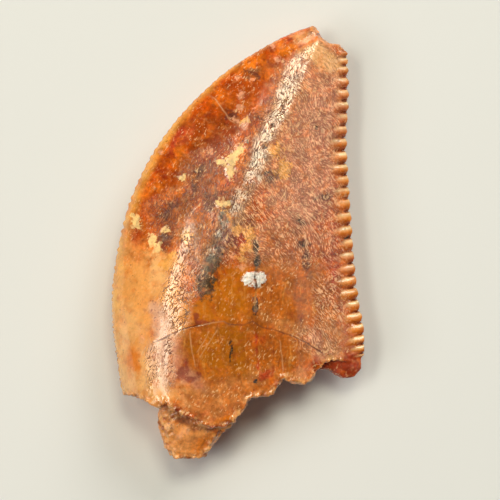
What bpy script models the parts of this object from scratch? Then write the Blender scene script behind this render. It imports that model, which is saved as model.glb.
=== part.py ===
"""A fossil raptor tooth that lies on one face, in metres, with +Z up.

The crown points along +Y. Its blunt mesial edge is on the -X side and its serrated distal
edge is on the +X side. The tooth is one closed solid: a crown lofted from rows across it,
with the broken tip and the broken base cut away. The origin is at the middle of its box,
on the surface that it lies on.
"""

import math
import random

import bmesh
import bpy
import numpy as np
from mathutils import Vector

MM = 0.001

# Driving dimensions, in millimetres
THICKNESS = 2.0
CROWN_TOP = 4.89
CROWN_FOOT = -5.0
TIP_ROW_SPACING = 0.042
FOOT_ROW_SPACING = 0.16

# Distal edge: the denticles, one bar each
DENTICLE_DEPTH = 0.07
DENTICLE_LENGTH = 0.34
DENTICLE_GROOVE = 0.05
MOST_GROOVE_SHARE = 0.6
MOST_BAR_SHARE = 0.5
DENTICLE_VARIATION = 0.15
EDGE_ROUNDING = 0.06
# The number of a denticle, counted from the tip, and how high up the crown its point is
DENTICLE_ANCHORS = (
    (0, 4.19), (2, 3.81), (8, 2.20), (9, 1.89), (13, 0.855), (16, -0.03), (21, -1.37), (24, -2.12),
    (26, -2.52),
)
# Rows of one denticle: the share of the way to the next one, and how deep the notch is there
DENTICLE_ROWS = ((0.0, 0.0), (0.27, 0.2), (0.55, 1.0), (0.84, 0.15))

# Mesial edge: a fine row of beads
MESIAL_BEAD = 0.02
SLOPE_STEP = 0.05

# Outline of the whole crown, (Y, X) in millimetres, before it broke
MESIAL_EDGE = (
    (-5.26, -2.09), (-3.93, -2.40), (-2.63, -2.66), (-1.51, -2.78), (-0.16, -2.65), (1.16, -2.28),
    (2.37, -1.61), (3.25, -0.84), (3.82, -0.20), (4.21, 0.40), (4.40, 0.74), (4.60, 1.16),
    (4.765, 1.63), (4.93, 2.41),
)
DISTAL_EDGE = (
    (-5.30, 2.72), (-2.75, 2.75), (-2.25, 2.79), (-1.37, 2.64), (-0.27, 2.53), (0.90, 2.445),
    (2.20, 2.375), (3.28, 2.42), (4.00, 2.40), (4.95, 2.42),
)

# Where the upper face is highest across each row, (Y, X), and how far from there the under face is lowest
CREST = (
    (-5.3, -1.60), (-3.05, -1.50), (-1.50, -1.05), (-0.73, -0.72), (0.92, 0.12), (2.02, 0.54),
    (2.91, 1.00), (4.41, 1.68), (4.95, 2.15),
)
UNDER_CREST_OFFSET = 0.25
NEAREST_CREST = 0.2
# Height of the crest of each face, (Y, share of the thickness)
UPPER_CREST = (
    (-5.3, 0.99), (-3.0, 0.995), (-1.5, 0.965), (0.0, 0.90), (1.5, 0.79), (3.0, 0.66), (4.0, 0.56),
    (4.95, 0.47),
)
# Where this is under zero, the face is flat: that is the spot that the tooth lies on
UNDER_CREST = (
    (-5.3, -0.025), (-3.0, -0.052), (-1.5, -0.058), (0.0, -0.038), (1.5, 0.038), (3.0, 0.16),
    (4.0, 0.24), (4.95, 0.30),
)
MESIAL_BLUNTNESS = 0.66
DISTAL_FLATNESS = 1.5
DISTAL_BLUNTNESS = 0.9

# The shallow trough between the crest and the distal side, on the upper face
TROUGH_DEPTH = 0.09
TROUGH_CENTRE = (-0.02, -1.7)
TROUGH_REACH = (0.55, 1.9)

# Columns across a row: shares from the mesial edge to the crest, then from the crest to the denticles
MESIAL_COLUMNS = (0.0, 0.035, 0.12, 0.30, 0.60, 1.0)
DISTAL_COLUMNS = (0.18, 0.42, 0.70)
DENTICLE_COLUMNS = (1.0, 0.66, 0.36, 0.14, 0.0)

# The broken base. The front rim is the edge of the upper face and the back rim is what
# stands out below it: the long lobe near the mesial side and the distal corner.
FRONT_RIM = (
    (-3.04, -3.31), (-2.48, -3.34), (-2.25, -3.38), (-1.99, -3.47), (-1.87, -3.55), (-1.68, -3.62),
    (-1.57, -3.52), (-1.40, -3.66), (-1.23, -3.76), (-0.98, -3.86), (-0.81, -3.97), (-0.61, -4.06),
    (-0.31, -4.05), (-0.09, -3.95), (0.02, -3.79), (0.20, -3.59), (0.21, -3.45), (0.36, -3.39),
    (0.69, -3.38), (0.79, -3.29), (0.92, -3.09), (1.00, -2.98), (1.13, -3.07), (1.43, -3.13),
    (1.59, -3.07), (1.70, -2.88), (1.85, -2.71), (2.02, -2.60), (2.19, -2.62), (2.57, -2.67),
    (2.73, -2.67), (3.36, -2.65),
)
LOBE_RIM = (
    (-1.75, -3.93), (-1.71, -4.16), (-1.63, -4.51), (-1.51, -4.70), (-1.36, -4.77), (-1.02, -4.78),
    (-0.71, -4.73), (-0.50, -4.45), (-0.29, -4.13),
)
LOBE_START = 6
LOBE_ROOT = (-1.0, -3.7)
CORNER_RIM = (
    (1.76, -2.82), (1.97, -2.81), (2.14, -2.90), (2.35, -3.03), (2.57, -3.00), (2.75, -2.79),
    (3.36, -2.70),
)
CORNER_START = 25
CORNER_ROOT = (2.3, -2.55)
# Height of the two rims under the upper face: (X, Z)
FRONT_RIM_HEIGHT = ((-3.0, 1.58), (1.2, 1.58), (1.9, 1.08), (3.4, 1.04))
BACK_RIM_HEIGHT = ((-3.0, 1.26), (1.2, 1.26), (1.9, 1.00), (3.4, 0.98))
BACK_RIM_ROUNDING = 0.03
BASE_HOLLOW = 0.3
BASE_HOLLOW_CENTRE = 0.2
BASE_HOLLOW_REACH = 2.1
BASE_ROUGHNESS = 0.03
# Levels of the broken face under the back rim: height, share of the hollow, and how much the
# lobe and the corner draw in towards their roots
BASE_LEVELS = ((0.92, 0.9, 0.0), (0.68, 1.0, 0.0), (0.36, 0.6, 0.07), (0.1, 0.1, 0.2))

# The broken tip, from the mesial side to the first denticle
TIP_BREAK = (
    (1.64, 4.94), (1.70, 4.77), (1.79, 4.65), (1.86, 4.52), (1.99, 4.42), (2.10, 4.38), (2.22, 4.38),
    (2.30, 4.33), (2.37, 4.26), (2.56, 4.14),
)
TIP_BREAK_SLOPE = (-0.05, -0.06)
TIP_BREAK_LEVELS = (1.0, 0.72)

CUTTER_TOP = 2.6
CUTTER_FOOT = -0.6
CUTTER_REACH = 6.4

TOOTH_COLOUR = (0.47, 0.16, 0.035, 1.0)
TOOTH_ROUGHNESS = 0.38
SHARP_ANGLE = 35


def clear_scene():
    for thing in list(bpy.data.objects):
        bpy.data.objects.remove(thing, do_unlink=True)


def smooth_curve(points):
    """A function that gives the smooth curve through points of (place, value)."""
    places, values = (np.array(column, float) for column in zip(*points))
    slopes = np.gradient(values, places)

    def value_at(place):
        place = min(max(place, places[0]), places[-1])
        i = min(int(np.searchsorted(places, place, side="right")) - 1, len(places) - 2)
        gap = places[i + 1] - places[i]
        t = (place - places[i]) / gap
        start = (1 + 2 * t) * (1 - t) ** 2 * values[i] + t * (1 - t) ** 2 * gap * slopes[i]
        end = t * t * (3 - 2 * t) * values[i + 1] + t * t * (t - 1) * gap * slopes[i + 1]
        return float(start + end)

    return value_at


mesial_x = smooth_curve(MESIAL_EDGE)
distal_x = smooth_curve(DISTAL_EDGE)
crest_x = smooth_curve(CREST)
upper_crest = smooth_curve(UPPER_CREST)
under_crest = smooth_curve(UNDER_CREST)


def crown_rows():
    """Every row of the crown from the tip down: its height, its notch and its denticle's size."""
    numbers, heights = zip(*DENTICLE_ANCHORS)
    tips = np.interp(range(numbers[-1] + 1), numbers, heights)
    chance = random.Random(27)
    rows = [(y, 0.0, 1.0) for y in np.arange(CROWN_TOP, tips[0] + TIP_ROW_SPACING / 2, -TIP_ROW_SPACING)]
    for tip, following in zip(tips[:-1], tips[1:]):
        size = 1 + chance.uniform(-DENTICLE_VARIATION, DENTICLE_VARIATION)
        rows += [(tip + share * (following - tip), notch, size) for share, notch in DENTICLE_ROWS]
    rows += [(y, 0.0, 1.0) for y in np.arange(tips[-1], CROWN_FOOT, -FOOT_ROW_SPACING)]
    return rows


def columns_between(left, crest, right, envelope):
    """X places across one row, from the mesial edge to the distal one."""
    inner = envelope - min(DENTICLE_LENGTH, MOST_BAR_SHARE * (envelope - crest))
    places = [left + share * (crest - left) for share in MESIAL_COLUMNS]
    places += [crest + share * (inner - crest) for share in DISTAL_COLUMNS]
    places += [right - share * (right - inner) for share in DENTICLE_COLUMNS]
    return places


def fullness(x, left, crest, right):
    """How full the crown is at x: 1 on the crest and 0 at its two edges."""
    if x < crest:
        rise = 1 - (crest - x) / (crest - left)
        return (1 - (1 - rise) ** 2) ** MESIAL_BLUNTNESS
    fall = min((x - crest) / (right - crest), 1.0)
    return max(1 - fall**DISTAL_FLATNESS, 0.0) ** DISTAL_BLUNTNESS


def kept_between(crest, left, right):
    """A crest that stays clear of both edges where the crown narrows to its tip."""
    width = right - left
    return min(max(crest, left + NEAREST_CREST * width), right - NEAREST_CREST * width)


def trough(x, y):
    """Depth of the shallow trough in the upper face."""
    across = (x - TROUGH_CENTRE[0]) / TROUGH_REACH[0]
    along = (y - TROUGH_CENTRE[1]) / TROUGH_REACH[1]
    return TROUGH_DEPTH * math.exp(-(across**2) - along**2)


def section(y, notch, size, bead):
    """One row round the crown: its upper face from mesial to distal, then its under face back."""
    left = mesial_x(y)
    envelope = distal_x(y)
    right = envelope - DENTICLE_DEPTH * size * notch
    top = THICKNESS * upper_crest(y)
    foot = THICKNESS * under_crest(y)
    middle = (top + foot) / 2

    def half_thickness(x, crest, tallest):
        edge = math.sqrt(min((right - x) / EDGE_ROUNDING, 1.0))
        half = tallest * edge * fullness(x, left, crest, envelope)
        fade = max(1 - (envelope - x) / DENTICLE_LENGTH, 0.0)
        groove = DENTICLE_GROOVE * size * notch * math.sqrt(fade)
        return half - min(groove, MOST_GROOVE_SHARE * half)

    upper, under = [], []
    crest = kept_between(crest_x(y), left, envelope)
    for x in columns_between(left, crest, right, envelope):
        sunk = trough(x, y) * fullness(x, left, crest, envelope)
        upper.append(Vector((x, y, middle + half_thickness(x, crest, top - middle) - sunk)))
    crest = kept_between(crest_x(y) + UNDER_CREST_OFFSET, left, envelope)
    for x in columns_between(left, crest, right, envelope)[-2:0:-1]:
        under.append(Vector((x, y, max(middle - half_thickness(x, crest, middle - foot), 0.0))))
    slope = (mesial_x(y + SLOPE_STEP) - mesial_x(y - SLOPE_STEP)) / (2 * SLOPE_STEP)
    upper[0] += Vector((-1.0, slope, 0.0)).normalized() * MESIAL_BEAD * bead
    return upper + under


def mesh_object(name, bm):
    """A finished object from a bmesh in millimetres, with its faces pointing out."""
    bmesh.ops.recalc_face_normals(bm, faces=bm.faces)
    bmesh.ops.scale(bm, vec=(MM, MM, MM), verts=bm.verts)
    mesh = bpy.data.meshes.new(name)
    bm.to_mesh(mesh)
    bm.free()
    thing = bpy.data.objects.new(name, mesh)
    bpy.context.scene.collection.objects.link(thing)
    return thing


def loft(name, rings):
    """A closed solid through rings of points, flat at both ends."""
    bm = bmesh.new()
    loops = [[bm.verts.new(point) for point in ring] for ring in rings]
    for above, below in zip(loops[:-1], loops[1:]):
        for i in range(len(above)):
            j = (i + 1) % len(above)
            bm.faces.new((above[i], above[j], below[j], below[i]))
    bm.faces.new(loops[0])
    bm.faces.new(loops[-1])
    return mesh_object(name, bm)


def make_crown():
    """The whole crown, before its tip and base broke away."""
    rings = [section(y, notch, size, row % 2 - 0.5) for row, (y, notch, size) in enumerate(crown_rows())]
    return loft("tooth", rings)


def back_rim():
    """The rim that stands out below the front one, point for point."""
    rim = list(FRONT_RIM)
    rim[LOBE_START : LOBE_START + len(LOBE_RIM)] = LOBE_RIM
    rim[CORNER_START : CORNER_START + len(CORNER_RIM)] = CORNER_RIM
    return rim


def hollow_at(x):
    """How far the broken base is hollowed at x."""
    across = (x - BASE_HOLLOW_CENTRE) / BASE_HOLLOW_REACH
    return BASE_HOLLOW * max(1 - across * across, 0.0)


def broken_outline(hollow, draw_in, chance):
    """The back rim at a lower level: hollowed between the lobe and the corner, and roughened."""
    outline = []
    for i, (x, y) in enumerate(back_rim()):
        root = None
        if 0 <= i - LOBE_START < len(LOBE_RIM):
            root = LOBE_ROOT
        elif i >= CORNER_START:
            root = CORNER_ROOT
        if root:
            x += draw_in * (root[0] - x)
            y += draw_in * (root[1] - y)
        else:
            y += hollow * hollow_at(x)
        x += chance.uniform(-BASE_ROUGHNESS, BASE_ROUGHNESS)
        y += chance.uniform(-BASE_ROUGHNESS, BASE_ROUGHNESS)
        outline.append((x, y))
    return outline


def base_cutter():
    """What broke away from the base, from above the tooth to below it."""
    chance = random.Random(11)
    corners = [(FRONT_RIM[-1][0], -CUTTER_REACH), (FRONT_RIM[0][0], -CUTTER_REACH)]

    def ring(outline, heights):
        ends = [(x, y, heights[i]) for (x, y), i in zip(corners, (-1, 0))]
        return [(x, y, z) for (x, y), z in zip(outline, heights)] + ends

    def level(outline, height):
        return ring(outline, [height] * len(outline))

    front_heights = np.interp([x for x, _ in FRONT_RIM], *zip(*FRONT_RIM_HEIGHT)).tolist()
    rounded = broken_outline(0.0, BACK_RIM_ROUNDING, chance)
    back_heights = np.interp([x for x, _ in rounded], *zip(*BACK_RIM_HEIGHT)).tolist()
    rings = [level(FRONT_RIM, CUTTER_TOP), ring(FRONT_RIM, front_heights), ring(rounded, back_heights)]
    for height, hollow, draw_in in BASE_LEVELS:
        outline = broken_outline(hollow, draw_in, chance)
        rings.append(level(outline, height))
    rings.append(level(outline, CUTTER_FOOT))
    return loft("base_cutter", rings)


def tip_cutter():
    """What broke away from the tip, leaving a face that leans back from the eye above."""
    corners = [(TIP_BREAK[-1][0], CUTTER_REACH), (TIP_BREAK[0][0], CUTTER_REACH)]
    outline = list(TIP_BREAK) + corners
    leaning = [(x + TIP_BREAK_SLOPE[0], y + TIP_BREAK_SLOPE[1]) for x, y in TIP_BREAK] + corners
    high, low = TIP_BREAK_LEVELS
    rings = [
        [(x, y, CUTTER_TOP) for x, y in leaning],
        [(x, y, high) for x, y in leaning],
        [(x, y, low) for x, y in outline],
        [(x, y, CUTTER_FOOT) for x, y in outline],
    ]
    return loft("tip_cutter", rings)


def cut_away(tooth, cutter):
    """Takes the cutter's space out of the tooth, and keeps the cutter as a wire guide."""
    cutter.hide_render = True
    cutter.display_type = "WIRE"
    cut = tooth.modifiers.new("Without " + cutter.name, "BOOLEAN")
    cut.operation = "DIFFERENCE"
    cut.solver = "EXACT"
    cut.object = cutter


def tooth_material():
    """Iron-stained enamel: orange-brown and half glossy."""
    material = bpy.data.materials.new("Stained enamel")
    material.use_nodes = True
    shader = material.node_tree.nodes["Principled BSDF"]
    shader.inputs["Base Color"].default_value = TOOTH_COLOUR
    shader.inputs["Roughness"].default_value = TOOTH_ROUGHNESS
    shader.inputs["Metallic"].default_value = 0.0
    material.diffuse_color = TOOTH_COLOUR
    return material


def main():
    clear_scene()
    tooth = make_crown()
    tooth.data.materials.append(tooth_material())
    cut_away(tooth, base_cutter())
    cut_away(tooth, tip_cutter())
    tooth.data.shade_smooth()
    tooth.data.set_sharp_from_angle(angle=math.radians(SHARP_ANGLE))


main()
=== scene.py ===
# %% [markdown]
# # A fossil raptor tooth
#
# The real thing is one small tooth, about ten millimetres long, lying on its side. It has an enamel skin
# over dentine, a saw edge of rounded denticles on the right, a fine beaded edge on the left, a chipped
# tip and a ragged base where it broke. Water rich in iron stained it orange, honey and brown.
#
# The solid tooth is already made. This lesson loads it as a fixed frame, grows a finely detailed skin of
# the same shape, stains and polishes the skin, and lights it for a photograph from straight above.

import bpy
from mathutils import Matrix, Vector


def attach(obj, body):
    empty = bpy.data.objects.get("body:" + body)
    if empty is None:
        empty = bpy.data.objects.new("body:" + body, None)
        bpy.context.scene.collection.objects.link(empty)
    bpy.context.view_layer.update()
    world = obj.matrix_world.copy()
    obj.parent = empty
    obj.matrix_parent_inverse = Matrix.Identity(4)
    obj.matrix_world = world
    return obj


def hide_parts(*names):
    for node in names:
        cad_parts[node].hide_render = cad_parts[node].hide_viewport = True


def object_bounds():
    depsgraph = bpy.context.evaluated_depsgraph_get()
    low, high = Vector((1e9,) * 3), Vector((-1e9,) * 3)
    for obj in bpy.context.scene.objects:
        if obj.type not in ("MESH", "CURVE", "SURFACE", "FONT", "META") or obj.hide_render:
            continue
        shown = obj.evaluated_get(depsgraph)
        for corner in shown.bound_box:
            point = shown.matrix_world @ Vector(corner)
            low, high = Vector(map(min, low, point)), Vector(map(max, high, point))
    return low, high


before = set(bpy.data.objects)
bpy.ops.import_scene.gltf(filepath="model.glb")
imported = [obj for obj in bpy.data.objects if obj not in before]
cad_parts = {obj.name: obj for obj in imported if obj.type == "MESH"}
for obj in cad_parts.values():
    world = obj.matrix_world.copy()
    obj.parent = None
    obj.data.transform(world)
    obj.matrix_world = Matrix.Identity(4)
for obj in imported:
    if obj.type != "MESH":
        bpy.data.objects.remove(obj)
cad_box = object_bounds()
print("The tooth's box, in metres:", [tuple(corner) for corner in cad_box])

# %% [markdown]
# ## Units and small helpers
#
# Blender works in metres here, which makes a tooth a very small number. The skin is sculpted in
# millimetres instead, and scaled down once at the end. `ease` is the soft step that nearly every stain
# and dent below is faded with, and `grain` reads Blender's own noise at many points, so that each run
# gives the same bumps.

# %% Units and small helpers
import math
import random

import bmesh
import bpy
import numpy as np
from mathutils import Vector, kdtree, noise

MM = 0.001
WELD = 1e-5
scene = bpy.context.scene


def ease(start, end, values):
    """0 at start and 1 at end, with a soft stop at both."""
    share = np.clip((values - start) / (end - start), 0.0, 1.0)
    return share * share * (3 - 2 * share)


def bell(values, width):
    """1 where the values are 0, and softly down to 0 on both sides."""
    return np.exp(-((values / width) ** 2))


def grain(points, size, seed):
    """Smooth noise of a given grain size at many points, from about -1 to 1."""
    shift = Vector((seed, -seed, seed * 0.5))
    return np.array([noise.noise(Vector(point) / size + shift) for point in points])


# %% [markdown]
# ## The camera
#
# The photograph looks straight down on the tooth, nearly without perspective, so a long lens stands far
# above it. It is made first because every later choice is judged through it. The picture takes in a
# square of about eleven millimetres, and the tooth lies a little left of its middle.

# %% The camera
PICTURE_SIDE = 11.03
PICTURE_CENTRE = (0.27, -0.182)
LENS = 250.0
SENSOR = 36.0
FOCUS_HEIGHT = 1.0

camera = bpy.data.objects.new("camera", bpy.data.cameras.new("camera"))
camera.data.lens = LENS
camera.data.sensor_width = SENSOR
camera_height = FOCUS_HEIGHT + PICTURE_SIDE * LENS / SENSOR
camera.location = (PICTURE_CENTRE[0] * MM, PICTURE_CENTRE[1] * MM, camera_height * MM)
camera.data.clip_start = 0.001
camera.data.clip_end = 2.0
scene.collection.objects.link(camera)
scene.camera = camera
print("The camera stands", round(camera_height, 1), "mm above the table")

# %% [markdown]
# ## What the solid tells us
#
# The two edges and the crest decide where everything else goes: denticles follow the right edge, beads
# the left one, and the enamel's grain fans out from the crest. They could be written down again as
# numbers, but then they would drift from the solid. Reading them from the solid, row by row, keeps them
# true.

# %% Read the edges and the crest from the solid
ROW_STEP = 0.06
ROW_REACH = 0.16
CREST_BLUR = 9


def copy_of_tooth():
    """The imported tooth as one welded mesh, in millimetres."""
    bm = bmesh.new()
    bm.from_mesh(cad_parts["tooth"].data)
    bmesh.ops.scale(bm, vec=(1 / MM,) * 3, verts=bm.verts)
    bmesh.ops.remove_doubles(bm, verts=bm.verts, dist=WELD)
    return bm


solid = copy_of_tooth()
corners = np.array([vert.co for vert in solid.verts])
rows = np.arange(corners[:, 1].min() + ROW_REACH, corners[:, 1].max() - ROW_REACH / 2, ROW_STEP)
mesial_line, distal_line, crest_line = [], [], []
for row in rows:
    near = corners[np.abs(corners[:, 1] - row) < ROW_REACH]
    mesial_line.append(near[:, 0].min())
    distal_line.append(near[:, 0].max())
    crest_line.append(near[near[:, 2].argmax(), 0])
padded = np.pad(crest_line, CREST_BLUR // 2, mode="edge")
crest_line = np.convolve(padded, np.ones(CREST_BLUR) / CREST_BLUR, mode="valid")


def mesial_x(y):
    return np.interp(y, rows, mesial_line)


def distal_x(y):
    return np.interp(y, rows, distal_line)


def crest_x(y):
    return np.interp(y, rows, crest_line)


print("Rows read from the solid:", len(rows))

# %% [markdown]
# ## The skin
#
# The solid has few faces, with a flat facet between its rows. A voxel remesh turns it into an even net of
# small quads that can be carved. Denticles, beads, cracks and the lip of the break are smaller than those
# quads, but a finer net all over would cost four times the faces. Only the quads near such features are
# cut in four instead, and the smallest features are cut once more.

# %% Where the cracks run, in millimetres
CRACKS = {
    "main": (
        (-1.97, -2.26), (-1.63, -2.12), (-1.3, -1.95), (-1.15, -1.89), (-0.9, -1.83), (-0.52, -1.77),
        (-0.3, -1.74), (-0.16, -1.81), (0.12, -1.82), (0.33, -1.74), (0.53, -1.88), (0.88, -1.95),
        (1.21, -2.07), (1.51, -2.22), (1.81, -2.41), (2.04, -2.58),
    ),
    "upper": ((-0.68, 3.28), (-0.52, 3.17), (-0.31, 2.88), (-0.16, 2.66), (-0.01, 2.58)),
    "branch": ((-1.97, -2.26), (-2.08, -2.45), (-2.14, -2.62)),
    "right scratch": ((1.57, -2.26), (1.62, -2.5), (1.68, -2.71)),
    "middle scratch": ((0.92, -2.12), (0.97, -2.5), (1.0, -2.88)),
    "left scratch": ((-1.04, -1.93), (-0.99, -2.4), (-0.91, -2.77)),
    "slanting scratch": ((-0.44, -1.9), (-0.62, -2.2), (-0.84, -2.54)),
    "short scratch": ((-0.61, -1.93), (-0.75, -2.2), (-0.91, -2.43)),
}


def along_path(path, points):
    """Signed distance from a path across the picture, and the share of its length passed, at each point."""
    x, y = points[:, 0], points[:, 1]
    lengths = [math.dist(a, b) for a, b in zip(path, path[1:])]
    distance = np.full(len(x), 9.0)
    side = np.ones(len(x))
    share = np.zeros(len(x))
    passed = 0.0
    for (ax, ay), (bx, by), length in zip(path, path[1:], lengths):
        dx, dy = (bx - ax) / length, (by - ay) / length
        forward = np.clip((x - ax) * dx + (y - ay) * dy, 0.0, length)
        away = np.hypot(ax + forward * dx - x, ay + forward * dy - y)
        near = away < distance
        distance[near] = away[near]
        side[near] = np.sign(dx * (y - ay) - dy * (x - ax))[near]
        share[near] = (passed + forward)[near] / sum(lengths)
        passed += length
    return distance * side, share


# %% Grow the skin
VOXEL = 0.05
SHARP_ANGLE = math.radians(24)
SHARP_STEP = 0.03
STRIP_WIDTH = 0.4
STRIP_FLOOR = 0.35
TIP_STRIP_WIDTH = 0.1
TIP_STRIP_FLOOR = 0.6
BEAD_STRIP_WIDTH = 0.14
BEAD_STRIP_FLOOR = 0.45
BEAD_FOOT = -3.4
LIP_REACH = 0.1
LIP_TOP = -2.3
LIP_FLOOR = 0.7
SAW_FOOT = LIP_TOP - 0.3
CRACK_REACH = 0.07
CRUST_MIDDLE = (0.37, -0.82)
CRUST_RADIUS = 0.26
UPPER_HALF = 1.0


def object_of(name, bm):
    """A new object of the scene that holds a bmesh."""
    mesh = bpy.data.meshes.new(name)
    bm.to_mesh(mesh)
    bm.free()
    thing = bpy.data.objects.new(name, mesh)
    scene.collection.objects.link(thing)
    return thing


def keep_modifiers(thing):
    """Makes what the modifiers show the object's own mesh."""
    graph = bpy.context.evaluated_depsgraph_get()
    shown = bpy.data.meshes.new_from_object(thing.evaluated_get(graph))
    thing.modifiers.clear()
    before = thing.data
    thing.data = shown
    bpy.data.meshes.remove(before)


def sharp_points(bm):
    """A search tree of points along every sharp edge."""
    points = []
    for edge in bm.edges:
        if edge.is_manifold and edge.calc_face_angle() > SHARP_ANGLE:
            steps = max(int(edge.calc_length() / SHARP_STEP), 1)
            start, end = (vert.co for vert in edge.verts)
            points += [start.lerp(end, i / steps) for i in range(steps + 1)]
    tree = kdtree.KDTree(len(points))
    for i, point in enumerate(points):
        tree.insert(point, i)
    tree.balance()
    return tree


def distance_to(tree, points):
    """How far each point is from the nearest one in a search tree."""
    return np.array([tree.find(point)[2] for point in points])


def read(parts, what):
    """One vector for each vertex or face of a mesh."""
    flat = np.empty(len(parts) * 3, np.float32)
    parts.foreach_get(what, flat)
    return flat.reshape(-1, 3).astype(float)


def cracks_and_crust(points):
    """True near a crack or on the white crust, on the upper half."""
    x, y, z = points.T
    near = np.hypot(x - CRUST_MIDDLE[0], y - CRUST_MIDDLE[1]) < CRUST_RADIUS
    for path in CRACKS.values():
        near |= np.abs(along_path(path, points)[0]) < CRACK_REACH
    return near & (z > UPPER_HALF)


def near_small_features(points):
    """True where the skin needs fine quads."""
    x, y, z = points.T
    strip = (distal_x(y) - x < STRIP_WIDTH) & (y > SAW_FOOT) & (z > STRIP_FLOOR)
    beads = (x - mesial_x(y) < BEAD_STRIP_WIDTH) & (y > BEAD_FOOT) & (z > BEAD_STRIP_FLOOR)
    lip = (y < LIP_TOP) & (z > LIP_FLOOR) & (distance_to(sharp, points) < LIP_REACH)
    return strip | beads | lip | cracks_and_crust(points)


def smallest_features(points):
    """True where it needs the finest quads."""
    x, y, z = points.T
    tips = (distal_x(y) - x < TIP_STRIP_WIDTH) & (y > SAW_FOOT) & (z > TIP_STRIP_FLOOR)
    return tips | cracks_and_crust(points)


def refine(thing, wanted):
    """Cuts in four each face whose middle is wanted."""
    chosen = wanted(read(thing.data.polygons, "center"))
    bm = bmesh.new()
    bm.from_mesh(thing.data)
    bm.faces.ensure_lookup_table()
    edges = {edge for i in np.flatnonzero(chosen) for edge in bm.faces[i].edges}
    bmesh.ops.subdivide_edges(bm, edges=list(edges), cuts=1, use_grid_fill=True)
    bm.to_mesh(thing.data)
    bm.free()


sharp = sharp_points(solid)
guide = object_of("solid_guide", solid)
tooth = object_of("tooth_skin", copy_of_tooth())
remesh = tooth.modifiers.new("Even net", "REMESH")
remesh.mode = "VOXEL"
remesh.voxel_size = VOXEL
keep_modifiers(tooth)
print("Quads in the even net:", len(tooth.data.polygons))
refine(tooth, near_small_features)
refine(tooth, smallest_features)
print("Triangles after the cuts:", sum(len(face.vertices) - 2 for face in tooth.data.polygons))

# %% [markdown]
# The remesh rounded the sharp places off and kept the flat facets, and both are wrong. So the distance to
# the solid's sharp edges is turned into two vertex groups. Near those edges a Shrinkwrap pulls the fine
# quads back onto the solid, and away from them a Smooth modifier melts the facets.

# %% Sharp where it is sharp, smooth elsewhere
KEPT_NEAR_SHARP = 0.05
FREE_FROM_SHARP = 0.28
SMOOTH_ROUNDS = 90


def weigh(thing, name, weights):
    """A vertex group with one weight per vertex."""
    group = thing.vertex_groups.new(name=name)
    for i, weight in enumerate(weights):
        group.add([i], float(weight), "REPLACE")
    return group.name


freedom = ease(KEPT_NEAR_SHARP, FREE_FROM_SHARP, distance_to(sharp, read(tooth.data.vertices, "co")))
wrap = tooth.modifiers.new("Back to the solid", "SHRINKWRAP")
wrap.target = guide
wrap.vertex_group = weigh(tooth, "kept", 1 - freedom)
smooth = tooth.modifiers.new("No facets", "SMOOTH")
smooth.factor = 0.5
smooth.iterations = SMOOTH_ROUNDS
smooth.vertex_group = weigh(tooth, "free", freedom)
keep_modifiers(tooth)
tooth.vertex_groups.clear()
bpy.data.objects.remove(guide)
print("Share of the skin that is free to smooth:", round(float(freedom.mean()), 2))

# %% [markdown]
# ## Carving by rules
#
# A sculptor would push the skin in and out along its own direction. This does the same with one number
# per vertex, `relief`, in millimetres: each feature adds its share, and all of it is applied in one move.
# Grooves are negative and lumps are positive.
#
# The denticles come first. Each is a rounded bar with a hair-thin groove beside it. The solid has the
# same bars with wide, blunt grooves, so the numbers of the bars are repeated here, and its grooves are
# mostly filled.

# %% The denticles
DENTICLE_ANCHORS = (
    (0, 4.19), (2, 3.81), (8, 2.2), (9, 1.89), (13, 0.855), (16, -0.03), (21, -1.37), (24, -2.12),
    (26, -2.52),
)
SOLID_GROOVE = ((0.0, 0.0), (0.27, 0.2), (0.55, 1.0), (0.84, 0.15), (1.0, 0.0))
SOLID_BAR_LENGTH = 0.34
GROOVE_FILL = 0.038
BAR_LENGTH = ((-2.5, 0.44), (-1.0, 0.45), (1.0, 0.38), (3.0, 0.28), (4.2, 0.2))
BAR_ROUNDING = 0.075
GROOVE_DEPTH = 0.03
GROOVE_PLACE = 0.56
GROOVE_WIDTH = 0.1
LEAN = ((-2.5, 0.3), (0.0, 0.18), (2.0, 0.08), (4.2, 0.0))
ROUNDED_END = ((0.5, 0.45), (2.0, 0.1))
BAR_VARIATION = (-0.25, 0.2)
SAW_TOP = (4.25, 4.15)
SAW_END = (-2.56, -2.48)

points = read(tooth.data.vertices, "co")
outward = read(tooth.data.vertices, "normal")
x, y, z = points.T
inward = distal_x(y) - x


def at_height(table):
    """What a table of (height on the tooth, value) gives at every vertex."""
    return np.interp(y, *zip(*table))


lean = at_height(LEAN)
numbers, heights = zip(*DENTICLE_ANCHORS)
number = np.interp(-(y + lean * inward), [-height for height in heights], numbers)
phase = number % 1.0
from_groove = (phase - GROOVE_PLACE + 0.5) % 1.0 - 0.5
in_groove = bell(from_groove, GROOVE_WIDTH)
bar_crown = np.sin(math.pi * np.abs(from_groove))
chance = random.Random(5)
bar_sizes = np.array([1 + chance.uniform(*BAR_VARIATION) for _ in range(int(numbers[-1]) + 2)])
bar_size = bar_sizes[np.floor(number - GROOVE_PLACE + 1).astype(int)]
rounding = 1.05 - at_height(ROUNDED_END) * (1 - bar_crown)
bar_length = at_height(BAR_LENGTH) * (0.3 + 0.7 * bar_size) * rounding
in_saw = ease(*SAW_TOP, y) * ease(*SAW_END, y)
on_bars = ease(1.1, 0.3, inward / bar_length + 0.15 * grain(points, 0.12, 4.0)) * in_saw
along_bar = np.sqrt(np.clip(1 - inward / SOLID_BAR_LENGTH, 0, 1))
fill = np.interp(phase, *zip(*SOLID_GROOVE)) * along_bar * in_saw
relief = GROOVE_FILL * fill
faces_up = 0.2 + 0.8 * ease(0.1, 0.6, outward[:, 2])
relief += on_bars * faces_up * (BAR_ROUNDING * bar_size * (bar_crown - 0.6) - GROOVE_DEPTH * in_groove)
print("Denticles:", int(numbers[-1]) + 1)

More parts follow.
